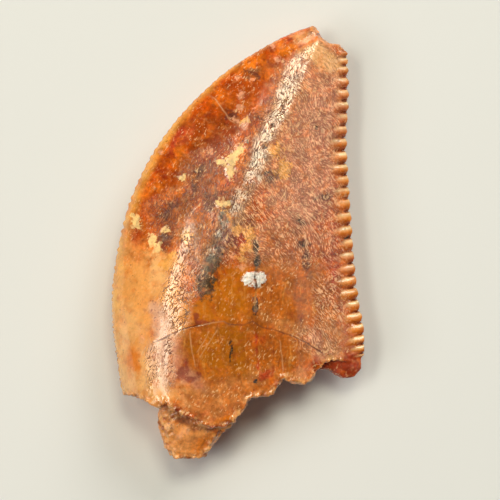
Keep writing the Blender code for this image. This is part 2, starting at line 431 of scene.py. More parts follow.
# %% [markdown]
# Seen from above, the outer end of each bar leans out like the point of a saw tooth, and the notches
# between the bars are shallow. So the outline itself is redrawn: the outermost place of every fine row is
# read from the skin, and the strip beside it slides sideways until it meets a line that this cell draws.

# %% The saw line of the right edge
NOTCH_DEPTH = ((-2.5, 0.06), (0.5, 0.055), (2.0, 0.04), (4.2, 0.035))
POINT_PLACE = ((0.5, 0.38), (2.6, 0.5))
NOTCH_CURVE = ((0.5, 3.0), (2.8, 1.5))
POINT_REACH = 0.015
RIM_STEP = 0.015
SLIDE_REACH = 0.3

row_of = ((y - y.min()) / RIM_STEP).astype(int)
outermost = np.full(row_of.max() + 1, -9.0)
np.maximum.at(outermost, row_of, x)
rim_x = np.interp(y, y.min() + (np.arange(len(outermost)) + 0.5) * RIM_STEP, outermost)
below_groove = (phase - GROOVE_PLACE) % 1.0
point_place = at_height(POINT_PLACE)
to_point = np.where(
    below_groove < point_place,
    1 - below_groove / point_place,
    1 - (1 - below_groove) / (1 - point_place),
)
recess = at_height(NOTCH_DEPTH) * bar_size * to_point ** at_height(NOTCH_CURVE)
smooth_edge = np.interp(y, rows, np.convolve(np.pad(distal_line, 3, mode="edge"), np.ones(7) / 7, "valid"))
slide = ease(SLIDE_REACH, 0.02, rim_x - x) * (smooth_edge + POINT_REACH - recess - rim_x) * in_saw
print("The right edge slides by at most", round(float(np.abs(slide).max()), 3), "mm")

# %% [markdown]
# The left edge has no bars, only a row of fine beads. They are larger near the tip and very fine low
# down, so the bead count is added up along the edge from a pitch that changes with height.

# %% The beaded edge
BEAD_PITCH = ((-3.4, 0.085), (-1.6, 0.11), (-0.8, 0.2), (0.6, 0.21), (2.0, 0.19), (4.6, 0.16))
BEAD_HEIGHT = ((-3.4, 0.012), (-1.6, 0.014), (-0.8, 0.028), (0.5, 0.028), (3.0, 0.022), (4.6, 0.012))
BEAD_REACH = 0.13
BEAD_LINE_HEIGHT = 0.75
BEAD_FLATNESS = 0.35
BEAD_END = (-3.35, -3.2)

edge_steps = np.hypot(np.diff(rows), np.diff(mesial_line))
pitches = np.interp(rows[1:], *zip(*BEAD_PITCH))
beads_passed = np.concatenate([[0.0], np.cumsum(edge_steps / pitches)])
from_edge = np.hypot(x - mesial_x(y), (z - BEAD_LINE_HEIGHT) * BEAD_FLATNESS)
on_edge = ease(BEAD_REACH, 0.02, from_edge) * ease(*BEAD_END, y)
bead = np.cos(2 * math.pi * np.interp(y, rows, beads_passed))
relief += on_edge * at_height(BEAD_HEIGHT) * bead * (0.7 + 0.6 * grain(points, 0.5, 14.0))
print("Beads along the left edge:", int(beads_passed[-1]))

# %% [markdown]
# ## Cracks, scars and worn skin
#
# Each crack is a narrow groove that opens and closes along its way, so that it never looks ruled. Near
# the tip a long flake came off beside the left edge, which left a shallow trench. Where the enamel wore
# through, the skin sinks a little, and the white mineral crust stands proud of it.

# %% Cracks
CRACK_DEPTH = {"main": 0.005, "upper": 0.003, "branch": 0.002}
SCRATCH_DEPTH = 0.001
CRACK_HALF_WIDTH = 0.014
CRACK_WANDER = 0.012
SHALLOW_RIGHT = ((-0.8, -0.2), (1.0, 0.4))
# The pale middle of the main crack is a painted highlight on its edge; the other pale lines are scratches.
DARK_CRACK = ((-2.0, 1.0), (-0.9, 1.0), (-0.7, 0.25), (-0.45, 0.25), (-0.2, 0.8), (2.1, 1.0))

upper_side = ease(0.15, 0.45, outward[:, 2]) * ease(0.9, 1.1, z)
wander = grain(points, 0.12, 3.0)
crack_mark = np.zeros(len(x))
pale_scratch_and_glint_mark = np.zeros(len(x))
for name, path in CRACKS.items():
    beside, share = along_path(path, points)
    beside = beside + CRACK_WANDER * wander
    ends = ease(0.0, 0.08, share) * ease(1.0, 0.9, share)
    open_here = ends * upper_side * (0.65 + 0.5 * grain(points, 0.25, 8.0))
    line = bell(beside, CRACK_HALF_WIDTH) * np.clip(open_here, 0.0, 1.0)
    dark = np.interp(x, *zip(*DARK_CRACK)) if name == "main" else 0.2
    relief -= CRACK_DEPTH.get(name, SCRATCH_DEPTH) * line * np.interp(x, *SHALLOW_RIGHT)
    crack_mark = np.maximum(crack_mark, line * dark)
    pale_scratch_and_glint_mark = np.maximum(pale_scratch_and_glint_mark, line * (1 - dark))
print("Cracks and scratches:", len(CRACKS))

# %% [markdown]
# ## A map of the stains, painted shadow and painted glow
#
# Every stain, painted shadow and painted glow is an ellipse with a place, two half sizes in millimetres
# and, if it leans, a turn in degrees. A list of them makes one field over the skin: 1 in the middle of an
# ellipse and one half at its edge. Each place is shifted by noise before it is looked up, so that no stain
# keeps the shape of an ellipse, and the material tears its edge later. Painting an image would also work,
# but these lists can be read and moved by hand.

# %% The broad zones, in millimetres
GROUND_ZONES = {
    "brown": (
        (-0.72, 1.8, 0.44, 1.1, -25), (-1.27, 0.59, 0.42, 0.5), (-0.1, 0.3, 0.6, 0.7),
        (-0.55, -0.3, 0.25, 0.6, -15),
    ),
    "tan": (
        (1.59, 2.91, 0.72, 1.3), (1.45, 1.36, 0.86, 1.3), (1.04, 0.04, 0.7, 0.6),
        (1.85, -2.3, 0.45, 0.28),
    ),
    "deep": (
        (0.15, 3.25, 0.75, 0.42, 38), (-0.75, 2.55, 0.4, 0.3, 40), (1.15, 4.0, 0.4, 0.16, 25),
        (-1.75, 0.75, 0.3, 0.4), (-0.85, 0.95, 0.3, 0.5, -20),
    ),
    "russet": ((1.2, -0.1, 0.6, 0.55), (1.8, -0.7, 0.3, 0.5)),
    "red": (
        (-1.3, 2.34, 0.16, 0.44, -36), (-2.4, 0.2, 0.2, 0.4), (2.08, -0.73, 0.16, 0.55),
        (1.95, 0.55, 0.16, 0.4), (-0.45, 1.95, 0.3, 0.4, -30), (-0.2, 1.35, 0.16, 0.3, -20),
    ),
    "honey": (
        (-2.27, -1.28, 0.62, 1.1), (-2.16, -2.61, 0.62, 0.77), (-1.49, -1.28, 0.44, 1.0),
        (-1.94, -3.27, 0.66, 0.33),
    ),
    "low orange": (
        (1.26, -1.28, 0.95, 0.8), (0.98, -2.43, 0.6, 0.5), (0.75, -0.7, 0.35, 0.45),
        (-0.1, -1.6, 0.9, 0.7), (-0.2, -2.7, 1.1, 0.8), (-1.02, 0.05, 0.36, 0.52),
    ),
    "peach": (
        (-0.5, -3.45, 0.95, 0.4), (0.1, -3.05, 0.6, 0.24), (1.35, -2.98, 0.45, 0.24),
        (1.1, -1.85, 0.5, 0.22, -25), (2.2, -2.0, 0.3, 0.5),
    ),
    "lilac": ((-1.45, -2.61, 0.36, 0.56), (-1.62, -1.7, 0.24, 0.34), (-1.1, -3.05, 0.35, 0.18, -15)),
    "pale": (
        (-2.1, -3.0, 0.5, 0.5), (-2.5, -1.9, 0.2, 0.5), (-1.75, -0.6, 0.25, 0.5),
        (1.8, 4.08, 0.46, 0.32, -25),
    ),
    # Bright orange, partly a painted glow of light through thin edges of the break.
    "orange_and_glow": (
        (-0.62, -4.38, 0.36, 0.18, 30), (-0.35, -3.84, 0.42, 0.08, 12), (-2.3, -2.6, 0.1, 0.3),
        (2.45, -2.88, 0.14, 0.16),
    ),
    # Painted shadow under the overhanging lip of the break.
    "lip_shadow": (
        (-1.28, -3.76, 0.28, 0.09, -28), (-0.72, -4.02, 0.34, 0.09, -5), (-0.25, -3.95, 0.2, 0.06, 10),
    ),
    "dusk": ((1.7, 0.9, 0.4, 0.8), (1.95, 2.5, 0.22, 0.9), (0.9, 1.05, 0.3, 0.25)),
    "amber": (
        (-0.26, -1.08, 0.36, 0.52, -8), (-0.2, -1.45, 0.44, 0.32), (0.1, -0.85, 0.2, 0.35),
        (-0.7, -1.45, 0.2, 0.22),
    ),
    "ochre": ((-0.66, -2.36, 0.5, 0.44), (-0.2, -2.2, 0.45, 0.36), (0.02, -2.5, 0.3, 0.5)),
}
print("Broad zones:", ", ".join(GROUND_ZONES))

# %% The small stains, in millimetres
SMALL_STAINS = {
    "worn": (
        (-2.24, 0.44, 0.11, 0.143), (-2.31, 0.57, 0.066, 0.066), (-1.87, 0.04, 0.11, 0.132),
        (-1.78, -0.16, 0.088, 0.132, -30), (-1.58, 0.24, 0.088, 0.066, 30), (-1.23, 1.41, 0.077, 0.077),
        (-0.13, 1.8, 0.15, 0.12), (-0.35, 1.74, 0.13, 0.075), (-0.15, 1.54, 0.09, 0.18),
        (0.01, 1.98, 0.16, 0.075, 45), (-0.3, 0.83, 0.15, 0.11), (-0.41, 0.85, 0.066, 0.066),
    ),
    "yellow": (
        (0.01, 0.24, 0.154, 0.11, -20), (0.27, 0.13, 0.11, 0.199, -10), (0.18, -0.14, 0.154, 0.11, 20),
        (0.07, -0.36, 0.11, 0.066), (0.18, 2.66, 0.132, 0.066, 10), (0.82, 2.0, 0.16, 0.15),
        (1.0, 1.6, 0.18, 0.24), (-1.49, -0.45, 0.221, 0.154, 40), (-1.1, 0.1, 0.12, 0.18),
        (-0.26, 0.55, 0.1, 0.16, 20),
    ),
    "smoke": (
        (-0.3, 0.46, 0.088, 0.176, 20), (-0.58, -0.5, 0.17, 0.3, -20), (-0.7, -0.93, 0.2, 0.31, -15),
        (0.4, -0.09, 0.077, 0.154), (0.42, -0.45, 0.06, 0.199), (0.39, -0.91, 0.033, 0.221),
        (0.38, -1.4, 0.066, 0.176), (-0.15, -2.41, 0.029, 0.243),
    ),
    "haze": (
        (-0.83, 1.54, 0.1, 0.24, -25), (-1.01, 1.12, 0.09, 0.3, -22), (-1.57, 0.57, 0.16, 0.1, 30),
        (-1.6, 0.02, 0.17, 0.19), (0.33, 3.7, 0.2, 0.13), (-0.14, 2.77, 0.16, 0.1, 30),
        (1.86, 0.97, 0.2, 0.08, 10), (1.51, -0.49, 0.08, 0.28, 10), (-0.36, 0.05, 0.16, 0.3, -20),
        (1.45, -0.05, 0.14, 0.12), (0.71, 1.45, 0.16, 0.14), (-0.6, 0.9, 0.14, 0.3, -25),
        (-1.4, 0.8, 0.12, 0.12), (1.35, 0.47, 0.12, 0.1),
    ),
    "spots": (
        (0.98, 2.96, 0.057, 0.057), (1.06, 3.1, 0.035, 0.035), (0.75, 2.56, 0.07, 0.035, 30),
        (0.56, 2.07, 0.075, 0.065), (0.2, 2.18, 0.04, 0.04), (0.65, 1.49, 0.057, 0.045),
        (0.71, 1.41, 0.044, 0.044), (1.73, 2.51, 0.04, 0.044), (1.34, 0.47, 0.05, 0.04),
        (1.44, -0.05, 0.065, 0.06), (-0.46, -0.12, 0.062, 0.055), (2.35, 0.11, 0.026, 0.026),
        (-0.33, -0.29, 0.044, 0.03), (0.4, -3.03, 0.04, 0.05), (0.4, -0.02, 0.04, 0.07),
        (0.38, -1.44, 0.05, 0.09), (0.41, -0.16, 0.05, 0.1), (0.42, -0.44, 0.036, 0.12),
        (0.39, -1.3, 0.032, 0.1), (-0.28, 0.5, 0.05, 0.07, 20),
    ),
    "pink": (
        (0.0, 3.61, 0.07, 0.06), (0.05, 3.24, 0.07, 0.07), (0.06, 2.96, 0.09, 0.08),
        (-0.06, 2.66, 0.1, 0.06, -20), (0.31, 3.57, 0.08, 0.05), (0.75, 4.32, 0.06, 0.04),
        (0.9, 4.03, 0.07, 0.06), (-1.7, 2.0, 0.06, 0.05), (-0.62, 1.98, 0.08, 0.08),
        (1.4, 4.6, 0.08, 0.03, 15), (0.1, -0.55, 0.1, 0.06), (-0.1, -0.3, 0.06, 0.05),
    ),
    "plum": (
        (1.74, 4.58, 0.05, 0.02, 25), (1.2, 4.23, 0.03, 0.03), (1.42, 4.32, 0.1, 0.02, 22),
        (1.13, 4.46, 0.1, 0.05, 15), (0.69, 3.98, 0.05, 0.05), (-1.21, -2.87, 0.16, 0.1, 30),
        (-0.83, -2.91, 0.05, 0.05), (-1.03, -2.98, 0.176, 0.06, -10), (-1.14, -2.72, 0.07, 0.2),
        (-0.9, -1.64, 0.06, 0.1), (0.6, 2.42, 0.066, 0.077), (-0.19, 0.08, 0.16, 0.176),
        (-0.77, -1.77, 0.2, 0.05, 10), (-1.62, -0.1, 0.06, 0.1),
    ),
    "crust": (
        (0.25, -0.8, 0.14, 0.12, 20), (0.49, -0.78, 0.13, 0.11, -30), (0.4, -0.93, 0.132, 0.088),
        (0.38, -0.72, 0.1, 0.06),
    ),
    "rust": (
        (0.4, -2.2, 0.028, 0.26, 3), (0.46, -2.76, 0.036, 0.34, 8), (0.62, -2.9, 0.2, 0.09, 25),
        (-1.32, 2.3, 0.09, 0.34, -36), (-0.2, 1.42, 0.1, 0.2, -20), (0.1, 0.0, 0.1, 0.16),
        (2.1, -0.6, 0.06, 0.4),
    ),
}


def stain_field(places, ellipses):
    """1 in the middle of an ellipse, one half at its edge, and less outside."""
    field = np.zeros(len(places))
    for middle_x, middle_y, half_width, half_height, *turn in ellipses:
        angle = math.radians(sum(turn))
        cosine, sine = math.cos(angle), math.sin(angle)
        right, up = places[:, 0] - middle_x, places[:, 1] - middle_y
        across = (right * cosine + up * sine) / half_width
        along = (up * cosine - right * sine) / half_height
        field = np.maximum(field, 0.5 ** (across**2 + along**2))
    return field


def wandered(amount, size, seed):
    """The skin's places, each shifted a little by noise."""
    shift = (grain(points, size, seed), grain(points, size, seed + 50), np.zeros(len(points)))
    return points + amount * np.column_stack(shift)


far_shift = wandered(0.22, 0.7, 60.0)
near_shift = wandered(0.055, 0.16, 64.0)
fields = {name: stain_field(far_shift, zones) for name, zones in GROUND_ZONES.items()}
fields.update({name: stain_field(near_shift, stains) for name, stains in SMALL_STAINS.items()})
fields["crack"] = np.clip(1.5 * crack_mark, 0.0, 1.0)
fields["pale_scratch_and_glint"] = pale_scratch_and_glint_mark
print("Small stains:", sum(len(stains) for stains in SMALL_STAINS.values()))

# %% [markdown]
# The far side can't be seen in the photograph. It gets the same kinds of stain in other places, by
# reading the lists at points that are turned half way round, so that the two faces don't look printed
# through.

# %% Different stains on the far side
FAR_SIDE_SHIFT = (0.35, -0.6)

turned = near_shift * (-1.0, -1.0, 1.0) + (*FAR_SIDE_SHIFT, 0.0)
seen = ease(-0.35, 0.1, outward[:, 2])
for name in ("worn", "smoke", "haze", "plum", "yellow"):
    fields[name] = fields[name] * seen + stain_field(turned, SMALL_STAINS[name]) * (1 - seen)
for name in ("spots", "crust", "crack", "pale_scratch_and_glint", "lilac"):
    fields[name] = fields[name] * seen
print("Share of the skin on the far side:", round(float((seen < 0.5).mean()), 2))

# %% Scar, worn skin and crust
SCAR = ((0.6, 4.05), (0.95, 4.17), (1.25, 4.29), (1.5, 4.4), (1.76, 4.54))
SCAR_HALF_WIDTH = 0.1
SCAR_DEPTH = 0.014
WORN_DEPTH = 0.01
SPOT_DEPTH = 0.008
CRUST_HEIGHT = 0.03

beside, share = along_path(SCAR, points)
beside = beside + 0.03 * grain(points, 0.2, 18.0)
scar = bell(beside, SCAR_HALF_WIDTH) * ease(0.0, 0.45, share) * ease(0.15, 0.45, outward[:, 2])
ragged = 0.16 * grain(points, 0.07, 12.0)
worn_here = ease(0.42, 0.6, fields["worn"] + ragged)
crust_here = ease(0.42, 0.62, fields["crust"] + ragged)
spot_here = ease(0.4, 0.8, fields["spots"])
relief -= SCAR_DEPTH * scar + WORN_DEPTH * worn_here + SPOT_DEPTH * spot_here
relief += CRUST_HEIGHT * crust_here * (0.7 + 0.8 * grain(points, 0.06, 21.0))
fields["scar"] = scar
print("Deepest relief so far, in mm:", round(float(relief.min()), 3))

# %% [markdown]
# ## Natural unevenness
#
# Nothing grown is even. Broad swells and finer ones go over the whole skin. The broken faces and the lip
# above them are rough as sugar, so their bumps are small and high.

# %% Swells, broken faces and the lip
LIP_ROUGH_REACH = 0.17
CREST_FLATTENING = 0.012
FLATTENED_WIDTH = 0.16
SWELLS = ((0.01, 0.75, 31.0), (0.0035, 0.28, 37.0))
BREAK_LUMPS = ((0.026, 0.16, 51.0), (0.024, 0.08, 57.0))
LIP_LUMPS = ((0.054, 0.12, 43.0), (0.024, 0.05, 47.0))
BAR_HIGHLIGHT_PLACE = 0.26
BAR_HIGHLIGHT_WIDTH = 0.15
BAR_ROOT_WIDTH = 0.22
BAR_COLOUR = ((-2.5, 1.0), (1.0, 1.0), (2.6, 0.6), (4.2, 0.3))


def lumps(layers):
    """Layers of noise added up, each with a height, a grain size and a seed."""
    return sum(height * grain(points, size, seed) for height, size, seed in layers)


lobe = (y < -3.3) & (z < 1.63)
corner = (y < -2.4) & (x > 1.7) & (z < 1.12)
broken = np.maximum(ease(-0.25, -0.6, outward[:, 1]) * (y < -2.3), (lobe | corner) * 1.0)
tip_break = (y > 4.15) & (x > 1.6) & (outward[:, 1] > 0.5) & (x < 2.45)
broken = np.maximum(broken, tip_break * 1.0)
lip = ease(LIP_ROUGH_REACH, 0.0, distance_to(sharp, points)) * (y < -2.4)
relief -= CREST_FLATTENING * bell(x - crest_x(y), FLATTENED_WIDTH) * ease(2.9, 3.7, y) * upper_side
relief += lumps(SWELLS)
relief += broken * (1 - 0.6 * corner) * lumps(BREAK_LUMPS)
relief += lip * (1 - 0.8 * corner) * lumps(LIP_LUMPS)
fields["broken"] = broken
# Painted highlight: the upper side of each bar is laid pale, where the lamps would catch it. Painted shade:
# its lower side is laid darker.
bar_top_highlight = on_bars * bell(below_groove - BAR_HIGHLIGHT_PLACE, BAR_HIGHLIGHT_WIDTH)
fields["bar_top_highlight"] = bar_top_highlight * (0.8 + 0.6 * grain(points, 0.2, 91.0))
fields["bar_low_shade"] = on_bars * ease(0.42, 0.8, below_groove) * ease(0.02, 0.1, inward)
fields["corner"] = corner * 1.0
fields["bars"] = on_bars * at_height(BAR_COLOUR)
fields["groove"] = on_bars * in_groove
fields["bar_root"] = bell(inward / bar_length - 1.0, BAR_ROOT_WIDTH) * in_saw * ease(1.6, 0.6, y)
# Painted glow of light through the thin left edge.
fields["rim"] = ease(0.4, 0.12, from_edge) * (0.75 + 0.5 * grain(points, 0.35, 95.0))
fields["lip"] = lip * (1 - corner)
print("Relief from", round(float(relief.min()), 3), "to", round(float(relief.max()), 3), "mm")

# %% [markdown]
# The enamel's braid isn't everywhere. It is strong on the crest and on the right side, weak on the honey
# and absent from the smooth dentine, where fine streaks run along the tooth instead. Its strands stand
# steep on the crest and left of it, and lean the other way on the right side. Each field below says where
# one of these is.

# %% Where the braid and the streaks are
BRAIDED = (
    (-0.6, 1.2, 0.6, 0.9, -20), (-1.9, -2.7, 0.18, 0.45), (-1.6, 0.6, 0.4, 0.5), (2.05, -1.3, 0.4, 0.7),
    (1.7, -2.15, 0.5, 0.3), (-0.95, -0.6, 0.32, 0.6),
)
COARSE_BRAID = ((-1.26, -1.2, 0.3, 0.95), (-1.15, -0.1, 0.3, 0.5), (-1.5, -2.6, 0.16, 0.6))
BRAID_LEFT_REACH = ((0.0, -0.95), (2.0, -0.75), (3.0, -0.62), (4.3, -0.3))
QUIET = ((-0.72, 1.35, 0.42, 0.85, -22), (-0.9, 0.35, 0.34, 0.5, -15))
PALE_AND_SHEEN = ((-1.62, -2.25, 0.34, 0.85), (-1.72, -1.55, 0.2, 0.3))
STREAKED = (
    (-0.2, -1.1, 0.45, 0.6), (-0.55, -2.3, 0.65, 0.55), (0.95, -1.55, 0.7, 0.6), (0.9, -2.45, 0.6, 0.5),
    (0.05, -2.6, 0.4, 0.6),
)


def soft_zone(ellipses, start=0.25, end=0.75):
    """A zone made of ellipses that fades out softly."""
    return ease(start, end, stain_field(far_shift, ellipses))


off_crest = x - crest_x(y)
left_reach = at_height(BRAID_LEFT_REACH) + 0.15 * grain(points, 0.3, 75.0)
crest_braid = ease(left_reach, left_reach + 0.3, off_crest) * ease(-0.75, -0.2, y)
smooth_zones = np.maximum(ease(0.3, 0.6, fields["amber"]), ease(0.35, 0.65, fields["ochre"]))
coarse_braid = soft_zone(COARSE_BRAID)
braided = np.maximum.reduce([crest_braid, coarse_braid, soft_zone(BRAIDED)])
fields["coarse_braid"] = coarse_braid
bare = np.maximum.reduce([smooth_zones, 0.9 * on_bars, broken, scar, 0.85 * worn_here])
fields["braided"] = braided * (1 - bare)
fields["streaks"] = soft_zone(STREAKED, 0.3, 0.6) * (1 - 0.7 * fields["braided"])
fields["right_side"] = ease(0.05, 0.22, off_crest + 0.08 * grain(points, 0.25, 71.0))
fields["pale_and_sheen"] = soft_zone(PALE_AND_SHEEN)
fields["quiet"] = soft_zone(QUIET, 0.3, 0.7)
on_crest = ease(-0.42, -0.12, off_crest) * ease(0.42, 0.1, off_crest)
on_crest = on_crest * ease(-0.9, -0.3, y) * ease(4.2, 3.2, y)
fields["crest_band"] = on_crest * (0.8 + 0.4 * grain(points, 0.3, 73.0))
print("Braided share of the skin:", round(float(fields["braided"].mean()), 2))

# %% [markdown]
# Now the relief is applied in one move. The skin must stay inside the solid's box and on the table, so
# the result is held between the box's corners. The fields are stored on the vertices, where the material
# finds them.

# %% Apply the relief
lowest, highest = (np.array(corner) / MM for corner in cad_box)
carved = points + outward * relief[:, None]
carved[:, 0] += slide
carved = np.clip(carved, lowest, highest)
tooth.data.vertices.foreach_set("co", (carved * MM).astype(np.float32).ravel())
tooth.data.shade_smooth()
tooth.data.update()
for name, values in fields.items():
    layer = tooth.data.attributes.new(name, "FLOAT", "POINT")
    layer.data.foreach_set("value", values.astype(np.float32))
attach(tooth, "root")
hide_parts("tooth")
print("Stored on the skin:", len(fields), "fields")

# %% [markdown]
# ## Building materials in code
#
# A material is a graph of nodes. A few short helpers keep it readable: they add a node and set its
# inputs, do sums, mix colours, make soft steps and noise, and place groups. Colours are written as they
# look on a screen, from 0 to 255, and turned into light values here.

# %% Material helpers


def screen(*channels):
    """A colour as a screen shows it, as light values."""
    light = (((c / 255 + 0.055) / 1.055) ** 2.4 if c > 10 else c / 3295 for c in channels)
    return (*light, 1.0)


def feed(tree, socket, value):
    """Puts a link or a plain value into an input."""
    if isinstance(value, bpy.types.NodeSocket):
        tree.links.new(value, socket)
    else:
        socket.default_value = value


def add(tree, kind, settings=None, **inputs):
    """A new node, with its settings and its inputs by name."""
    node = tree.nodes.new(kind)
    for name, value in (settings or {}).items():
        setattr(node, name, value)
    for name, value in inputs.items():
        feed(tree, node.inputs[name.replace("_", " ")], value)
    return node


def calc(tree, operation, first, second=0.0, kind="ShaderNodeMath"):
    """The result of one sum."""
    node = add(tree, kind, {"operation": operation})
    feed(tree, node.inputs[0], first)
    feed(tree, node.inputs[1], second)
    return node.outputs[0]


def times(tree, first, second):
    """The product of two values."""
    return calc(tree, "MULTIPLY", first, second)


def vector_calc(tree, operation, first, second):
    """The result of one sum of two vectors."""
    return calc(tree, operation, first, second, "ShaderNodeVectorMath")


def blend(tree, share, first, second, way="MIX"):
    """Two colours mixed."""
    node = add(tree, "ShaderNodeMix", {"data_type": "RGBA", "blend_type": way, "clamp_factor": True})
    feed(tree, node.inputs[0], share)
    feed(tree, node.inputs[6], first)
    feed(tree, node.inputs[7], second)
    return node.outputs[2]


def ramp(tree, value, start, end, low=0.0, high=1.0):
    """A soft step of a value."""
    settings = {"interpolation_type": "SMOOTHSTEP"}
    node = add(tree, "ShaderNodeMapRange", settings, Value=value)
    for place, number in enumerate((start, end, low, high)):
        feed(tree, node.inputs[place + 1], number)
    return node.outputs["Result"]


def cloud(tree, point, scale, detail=2.0, seed=0.0):
    """Plain noise, from 0 to 1."""
    inputs = {"Vector": point, "Scale": scale, "Detail": detail, "W": seed}
    return add(tree, "ShaderNodeTexNoise", {"noise_dimensions": "4D"}, **inputs).outputs


def new_group(name, inputs, outputs):
    """An empty node group, its input node and its output node."""
    tree = bpy.data.node_groups.new(name, "ShaderNodeTree")
    for direction, sockets in (("INPUT", inputs), ("OUTPUT", outputs)):
        for socket, kind in sockets.items():
            tree.interface.new_socket(socket, in_out=direction, socket_type="NodeSocket" + kind)
    return tree, tree.nodes.new("NodeGroupInput").outputs, tree.nodes.new("NodeGroupOutput").inputs


def place_group(tree, group, **inputs):
    """One use of a group, with its inputs by name."""
    return add(tree, "ShaderNodeGroup", {"node_tree": group}, **inputs).outputs


print("Orange as light values:", [round(c, 3) for c in screen(203, 88, 26)])

# %% [markdown]
# ## Two effects that come back
#
# `Ragged edge` turns one of the stored fields into a stain with a torn border: noise is added to the
# field before it is cut at one half. `Braided enamel` makes the fine interwoven wrinkles of the enamel.
# Stretched noise passes through its middle value along long curves that never end, like the lines of a
# fingerprint. Those curves become the dark furrows, and what lies between them the flat, shining strands.

# %% The ragged edge group
tearing, given, made = new_group(
    "Ragged edge",
    {"Field": "Float", "Point": "Vector", "Grain": "Float", "Raggedness": "Float", "Softness": "Float"},
    {"Mask": "Float"},
)
inputs = {"Vector": given["Point"], "Scale": given["Grain"], "Detail": 4.0, "Roughness": 0.62}
torn = add(tearing, "ShaderNodeTexNoise", **inputs)
shift = times(tearing, calc(tearing, "SUBTRACT", torn.outputs[0], 0.5), given["Raggedness"])
shifted = calc(tearing, "ADD", given["Field"], shift)
step = ramp(
    tearing,
    shifted,
    calc(tearing, "SUBTRACT", 0.5, given["Softness"]),
    calc(tearing, "ADD", 0.5, given["Softness"]),
)
feed(tearing, made["Mask"], step)
print("Group inputs:", [socket.name for socket in given][:-1])

# %% The braided enamel group
BRAID_WARPS = ((1.3, 0.5), (6.0, 0.08))

braiding, given, made = new_group(
    "Braided enamel",
    {"Point": "Vector", "Direction": "Float", "Length": "Float", "Width": "Float", "Line": "Float"},
    {"Height": "Float", "Furrow": "Float", "Wear_and_glint": "Float"},
)
warped = given["Point"]
for warp_grain, amount in BRAID_WARPS:
    warp = cloud(braiding, given["Point"], warp_grain, 1.0)["Color"]
    warp = vector_calc(braiding, "SUBTRACT", warp, (0.5, 0.5, 0.5))
    warp = vector_calc(braiding, "MULTIPLY", warp, (amount,) * 3)
    warped = vector_calc(braiding, "ADD", warped, warp)
back = times(braiding, given["Direction"], -1.0)
along = add(braiding, "ShaderNodeVectorRotate", {"rotation_type": "Z_AXIS"}, Vector=warped, Angle=back)
long_way = calc(braiding, "DIVIDE", 1.0, given["Length"])
short_way = calc(braiding, "DIVIDE", 1.0, given["Width"])
stretch = add(braiding, "ShaderNodeCombineXYZ", X=long_way, Y=short_way, Z=short_way).outputs[0]
strand_place = vector_calc(braiding, "MULTIPLY", along.outputs[0], stretch)
from_middle = calc(braiding, "SUBTRACT", cloud(braiding, strand_place, 1.0, 1.0)[0], 0.5)
off_line = calc(braiding, "DIVIDE", calc(braiding, "ABSOLUTE", from_middle), given["Line"])
feed(braiding, made["Height"], ramp(braiding, off_line, 0.3, 1.6))
feed(braiding, made["Furrow"], ramp(braiding, off_line, 1.3, 0.4))
feed(braiding, made["Wear_and_glint"], ramp(braiding, off_line, 2.0, 4.5))
print("The braid puts out:", [socket.name for socket in made][:-1])

# %% [markdown]
# ## The stained enamel
#
# The colour is built as the stains came: the orange ground first, then the broad zones and the small
# stains. Painted light and shade are laid among them: a glow in thin edges, a shadow under the lip, the
# lit and shaded sides of the denticles, glints and a sheen. The fine grain of the enamel goes over all of
# them. The gloss follows the same masks, so crust is dull and dentine is smooth.

# %% The ground and the broad zones
PIGMENTS = {
    "ground": (206, 80, 6), "ground light": (236, 120, 28), "ground dark": (150, 48, 10),
    "deep": (172, 66, 4), "russet": (188, 94, 30), "crest_band": (128, 84, 36),
    "honey": (248, 168, 90), "tan": (214, 138, 104), "brown": (140, 62, 8),
    "red": (172, 64, 50), "low orange": (180, 98, 28), "peach": (200, 124, 66),
    "pale": (255, 188, 120), "dusk": (202, 130, 102), "pink": (246, 172, 134),
    "lip pale": (248, 186, 118), "lip dark": (134, 46, 22),
    "lilac": (214, 148, 120), "amber": (192, 106, 8), "ochre": (176, 98, 8),
    "rim": (255, 186, 84), "bars": (240, 142, 44), "groove": (104, 28, 4),
    "rust": (184, 58, 34),
    "bar_root": (186, 78, 54),
    "bar_top_highlight": (255, 228, 178), "bar_low_shade": (166, 62, 8), "pink bar": (214, 130, 92),
    "broken": (255, 170, 94), "corner": (154, 40, 0), "scar": (244, 124, 0),
    "orange_and_glow": (232, 122, 20), "lip_shadow": (126, 50, 24),
    "plum": (128, 44, 42), "worn": (254, 210, 136), "yellow": (255, 176, 86),
    "smoke": (60, 44, 24), "haze": (72, 44, 44), "spots": (14, 12, 12),
    "crust": (252, 246, 240), "strand_wear_and_glint": (252, 198, 154), "furrow_iron_and_shade": (94, 42, 20),
    "painted_glint": (255, 200, 146), "pit": (112, 42, 18), "streak": (224, 148, 70),
    "crack": (76, 20, 10), "pale_scratch_and_glint": (240, 176, 124), "pale_and_sheen": (226, 168, 134),
}
# The edge tables hold the pigment's share, the raggedness, and the softness if it isn't the usual one
ZONE_EDGES = {
    "deep": (0.75, 1.3), "brown": (0.8, 1.1), "tan": (0.9, 1.1), "russet": (0.8, 1.3),
    "red": (0.5, 1.6, 0.4), "low orange": (0.85, 1.2, 0.3), "peach": (0.8, 1.2), "honey": (0.95, 1.0),
    "pale": (0.95, 1.4), "lilac": (0.7, 1.2), "dusk": (0.55, 1.4), "amber": (0.9, 1.3, 0.3),
    "ochre": (0.9, 1.3, 0.36),
}
# A painted glow in thin edges and a painted shadow under the lip, laid over the broken faces.
BREAK_EDGES = {"orange_and_glow": (0.8, 1.2), "lip_shadow": (0.75, 1.6)}
ZONE_GRAIN = 3.2
BREAK_GRAIN = 5.0
SCAR_EDGE = (8.0, 0.9)
CALM_ZONES = {"amber": 0.5, "ochre": 0.4, "honey": 0.7, "pale": 0.7, "lilac": 0.5}

enamel = bpy.data.materials.new("Stained enamel")
enamel.use_nodes = True
tree = enamel.node_tree
shader = tree.nodes["Principled BSDF"]


